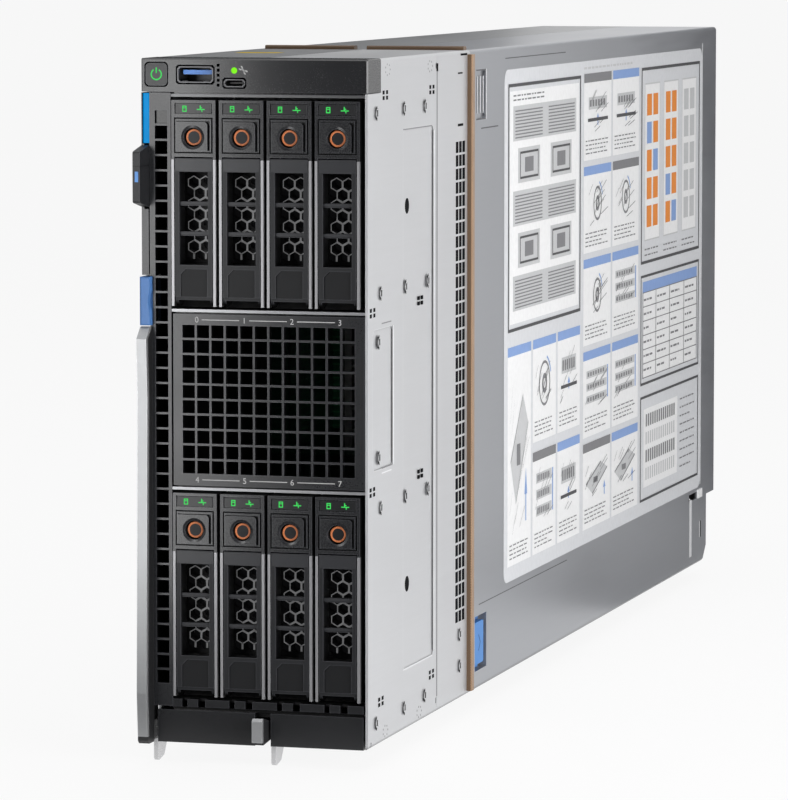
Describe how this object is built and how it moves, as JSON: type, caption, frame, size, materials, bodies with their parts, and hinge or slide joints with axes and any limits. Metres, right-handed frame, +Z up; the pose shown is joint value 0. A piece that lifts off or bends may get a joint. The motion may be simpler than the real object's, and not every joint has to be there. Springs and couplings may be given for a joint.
{
  "type": "blade server",
  "caption": "Upright double-width blade server with pull-out front drives, a central grille, a swing-out release handle and a lift-off side cover.",
  "frame": {"origin": "centre of the footprint, at the level of the hook tips that the blade stands on", "axes": "+X to the right seen from the front, +Y towards the rear connectors, +Z up"},
  "size_m": [0.0876, 0.6044, 0.259],
  "materials": {
    "galvanised": "zinc-coated sheet",
    "cover_steel": "zinc-coated sheet",
    "charcoal_plastic": "fine grain",
    "button_plastic": "fine grain",
    "light_cyan": "lit light pipe",
    "port_blue": "smooth",
    "seal_fabric": "woven",
    "board_green": "solder mask",
    "bare_aluminium": "satin",
    "black_plastic": "fine grain",
    "bright_steel": "polished",
    "touch_blue": "fine grain"
  },
  "bodies": {
    "shell": {"chassis_tray": "galvanised", "cage_side_panel": "galvanised", "vent_side_panel": "galvanised", "drive_cage": "galvanised", "left_trim": "charcoal_plastic", "centre_grille": "charcoal_plastic", "top_bezel": "charcoal_plastic", "bottom_bezel": "charcoal_plastic", "status_light": "light_cyan", "usb_ports": "galvanised", "port_tongues": "port_blue", "emi_gasket": "seal_fabric", "backplane": "board_green", "system_board": "board_green", "expansion_board": "board_green", "heat_sinks": "bare_aluminium", "memory_modules": "board_green", "mezzanine_cards": "board_green", "rear_connectors": "black_plastic", "board_posts": "bright_steel"},
    "handle": {"release_handle": "black_plastic", "handle_caps": "bare_aluminium", "latch_shaft": "bright_steel"},
    "release_button": {"release_button": "touch_blue"},
    "tag": {"info_tag": "black_plastic"},
    "power_button": {"power_button": "charcoal_plastic"},
    "cover": {"access_cover": "cover_steel"},
    "cover_latch": {"cover_latch": "touch_blue"},
    "drive_1": {"drive_carrier_1": "charcoal_plastic", "hard_drive_1": "bare_aluminium"},
    "drive_1_handle": {"drive_handle_1": "charcoal_plastic"},
    "drive_1_button": {"drive_button_1": "button_plastic"},
    "drive_2": {"drive_carrier_2": "charcoal_plastic", "hard_drive_2": "bare_aluminium"},
    "drive_2_handle": {"drive_handle_2": "charcoal_plastic"},
    "drive_2_button": {"drive_button_2": "button_plastic"},
    "drive_3": {"drive_carrier_3": "charcoal_plastic", "hard_drive_3": "bare_aluminium"},
    "drive_3_handle": {"drive_handle_3": "charcoal_plastic"},
    "drive_3_button": {"drive_button_3": "button_plastic"},
    "drive_4": {"drive_carrier_4": "charcoal_plastic", "hard_drive_4": "bare_aluminium"},
    "drive_4_handle": {"drive_handle_4": "charcoal_plastic"},
    "drive_4_button": {"drive_button_4": "button_plastic"},
    "drive_5": {"drive_carrier_5": "charcoal_plastic", "hard_drive_5": "bare_aluminium"},
    "drive_5_handle": {"drive_handle_5": "charcoal_plastic"},
    "drive_5_button": {"drive_button_5": "button_plastic"},
    "drive_6": {"drive_carrier_6": "charcoal_plastic", "hard_drive_6": "bare_aluminium"},
    "drive_6_handle": {"drive_handle_6": "charcoal_plastic"},
    "drive_6_button": {"drive_button_6": "button_plastic"},
    "drive_7": {"drive_carrier_7": "charcoal_plastic", "hard_drive_7": "bare_aluminium"},
    "drive_7_handle": {"drive_handle_7": "charcoal_plastic"},
    "drive_7_button": {"drive_button_7": "button_plastic"},
    "drive_8": {"drive_carrier_8": "charcoal_plastic", "hard_drive_8": "bare_aluminium"},
    "drive_8_handle": {"drive_handle_8": "charcoal_plastic"},
    "drive_8_button": {"drive_button_8": "button_plastic"}
  },
  "joints": [
    {"name": "handle_swing", "type": "hinge", "parent": "shell", "child": "handle", "pos_m": [0, -0.28485, 0.0135], "axis": [1, 0, 0], "range_deg": [0, 60]},
    {"name": "release_button_press", "type": "slide", "parent": "shell", "child": "release_button", "axis": [0, 1, 0], "range_m": [0, 0.0025], "stiffness_N_per_m": 400},
    {"name": "tag_pull", "type": "slide", "parent": "shell", "child": "tag", "axis": [0, -1, 0], "range_m": [0, 0.085]},
    {"name": "power_button_press", "type": "slide", "parent": "shell", "child": "power_button", "axis": [0, 1, 0], "range_m": [0, 0.001], "stiffness_N_per_m": 400},
    {"name": "cover_lift", "type": "slide", "parent": "shell", "child": "cover", "axis": [1, 0, 0], "range_m": [0, 0.12]},
    {"name": "cover_latch_slide", "type": "slide", "parent": "cover", "child": "cover_latch", "axis": [0, 1, 0], "range_m": [0, 0.0035], "stiffness_N_per_m": 400},
    {"name": "drive_1_slide", "type": "slide", "parent": "shell", "child": "drive_1", "axis": [0, -1, 0], "range_m": [0, 0.13]},
    {"name": "drive_1_handle_swing", "type": "hinge", "parent": "drive_1", "child": "drive_1_handle", "pos_m": [0, -0.28785, 0.1711], "axis": [1, 0, 0], "range_deg": [0, 50]},
    {"name": "drive_1_button_press", "type": "slide", "parent": "drive_1", "child": "drive_1_button", "axis": [0, 1, 0], "range_m": [0, 0.0015], "stiffness_N_per_m": 400},
    {"name": "drive_2_slide", "type": "slide", "parent": "shell", "child": "drive_2", "axis": [0, -1, 0], "range_m": [0, 0.13]},
    {"name": "drive_2_handle_swing", "type": "hinge", "parent": "drive_2", "child": "drive_2_handle", "pos_m": [0, -0.28785, 0.1711], "axis": [1, 0, 0], "range_deg": [0, 50]},
    {"name": "drive_2_button_press", "type": "slide", "parent": "drive_2", "child": "drive_2_button", "axis": [0, 1, 0], "range_m": [0, 0.0015], "stiffness_N_per_m": 400},
    {"name": "drive_3_slide", "type": "slide", "parent": "shell", "child": "drive_3", "axis": [0, -1, 0], "range_m": [0, 0.13]},
    {"name": "drive_3_handle_swing", "type": "hinge", "parent": "drive_3", "child": "drive_3_handle", "pos_m": [0, -0.28785, 0.1711], "axis": [1, 0, 0], "range_deg": [0, 50]},
    {"name": "drive_3_button_press", "type": "slide", "parent": "drive_3", "child": "drive_3_button", "axis": [0, 1, 0], "range_m": [0, 0.0015], "stiffness_N_per_m": 400},
    {"name": "drive_4_slide", "type": "slide", "parent": "shell", "child": "drive_4", "axis": [0, -1, 0], "range_m": [0, 0.13]},
    {"name": "drive_4_handle_swing", "type": "hinge", "parent": "drive_4", "child": "drive_4_handle", "pos_m": [0, -0.28785, 0.1711], "axis": [1, 0, 0], "range_deg": [0, 50]},
    {"name": "drive_4_button_press", "type": "slide", "parent": "drive_4", "child": "drive_4_button", "axis": [0, 1, 0], "range_m": [0, 0.0015], "stiffness_N_per_m": 400},
    {"name": "drive_5_slide", "type": "slide", "parent": "shell", "child": "drive_5", "axis": [0, -1, 0], "range_m": [0, 0.13]},
    {"name": "drive_5_handle_swing", "type": "hinge", "parent": "drive_5", "child": "drive_5_handle", "pos_m": [0, -0.28785, 0.0281], "axis": [1, 0, 0], "range_deg": [0, 50]},
    {"name": "drive_5_button_press", "type": "slide", "parent": "drive_5", "child": "drive_5_button", "axis": [0, 1, 0], "range_m": [0, 0.0015], "stiffness_N_per_m": 400},
    {"name": "drive_6_slide", "type": "slide", "parent": "shell", "child": "drive_6", "axis": [0, -1, 0], "range_m": [0, 0.13]},
    {"name": "drive_6_handle_swing", "type": "hinge", "parent": "drive_6", "child": "drive_6_handle", "pos_m": [0, -0.28785, 0.0281], "axis": [1, 0, 0], "range_deg": [0, 50]},
    {"name": "drive_6_button_press", "type": "slide", "parent": "drive_6", "child": "drive_6_button", "axis": [0, 1, 0], "range_m": [0, 0.0015], "stiffness_N_per_m": 400},
    {"name": "drive_7_slide", "type": "slide", "parent": "shell", "child": "drive_7", "axis": [0, -1, 0], "range_m": [0, 0.13]},
    {"name": "drive_7_handle_swing", "type": "hinge", "parent": "drive_7", "child": "drive_7_handle", "pos_m": [0, -0.28785, 0.0281], "axis": [1, 0, 0], "range_deg": [0, 50]},
    {"name": "drive_7_button_press", "type": "slide", "parent": "drive_7", "child": "drive_7_button", "axis": [0, 1, 0], "range_m": [0, 0.0015], "stiffness_N_per_m": 400},
    {"name": "drive_8_slide", "type": "slide", "parent": "shell", "child": "drive_8", "axis": [0, -1, 0], "range_m": [0, 0.13]},
    {"name": "drive_8_handle_swing", "type": "hinge", "parent": "drive_8", "child": "drive_8_handle", "pos_m": [0, -0.28785, 0.0281], "axis": [1, 0, 0], "range_deg": [0, 50]},
    {"name": "drive_8_button_press", "type": "slide", "parent": "drive_8", "child": "drive_8_button", "axis": [0, 1, 0], "range_m": [0, 0.0015], "stiffness_N_per_m": 400}
  ]
}
